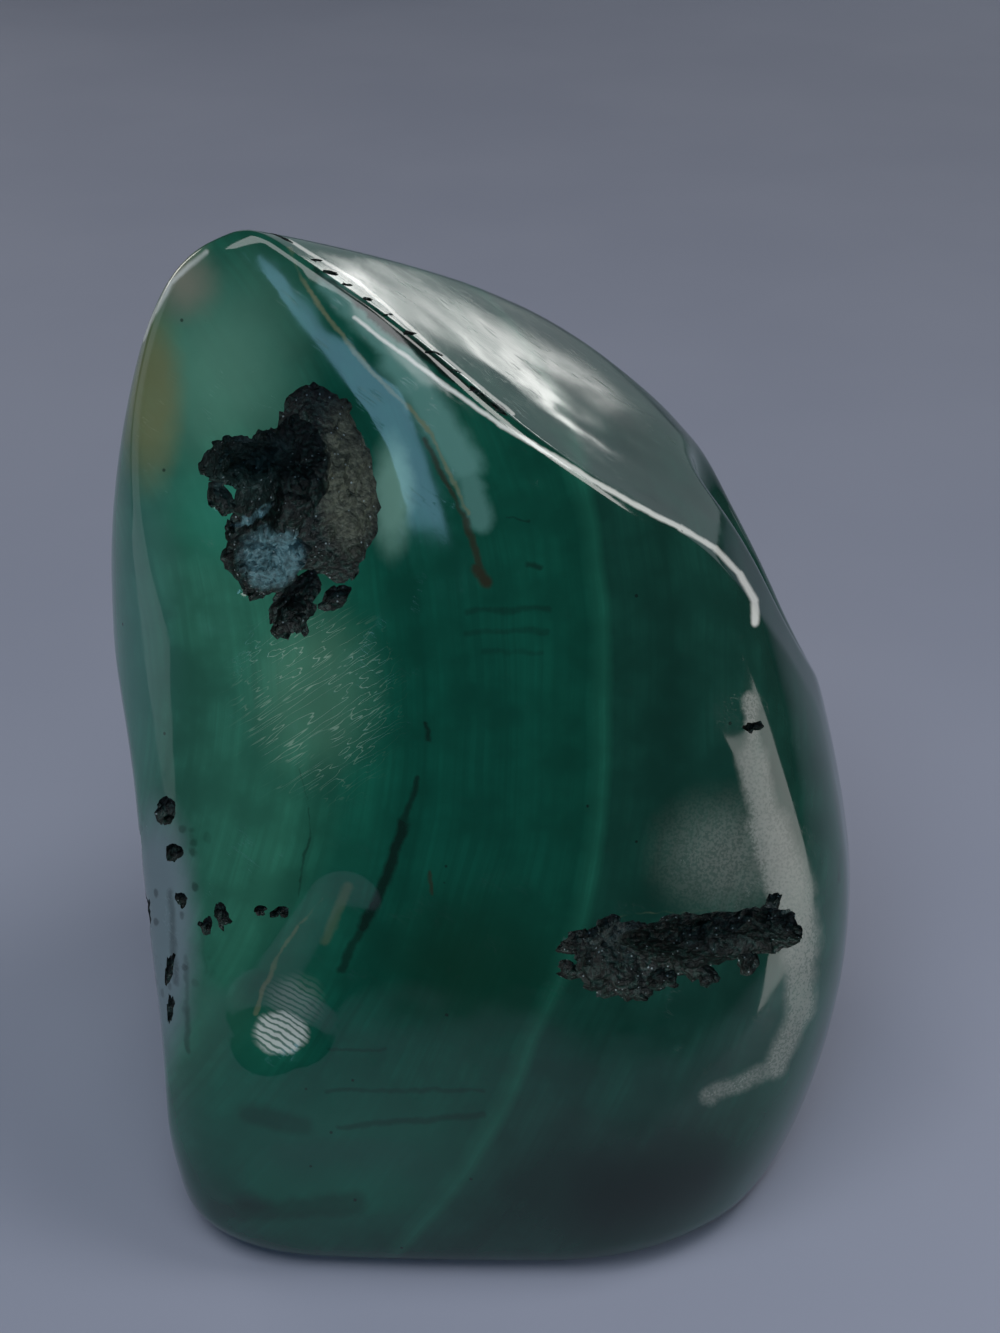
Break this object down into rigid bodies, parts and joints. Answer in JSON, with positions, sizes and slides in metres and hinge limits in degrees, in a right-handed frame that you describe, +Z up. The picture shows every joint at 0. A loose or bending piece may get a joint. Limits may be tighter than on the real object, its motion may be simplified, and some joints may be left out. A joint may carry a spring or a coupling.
{
  "type": "polished malachite stone",
  "caption": "Hand-ground freeform of polished malachite on a flat foot, with a crisp sloping ridge, a broken pocket, a fissure and natural pits.",
  "frame": {"origin": "on the surface that the stone stands on, under the middle of its box", "axes": "+Z up through the stone, -Y towards the broad leaning front with the pocket and the fissure, +X to the viewer's right"},
  "size_m": [0.049, 0.0456, 0.0607],
  "materials": {
    "malachite": "polished banded malachite, rough where the stone is broken"
  },
  "bodies": {
    "root": {"malachite_stone": "malachite"}
  },
  "joints": []
}
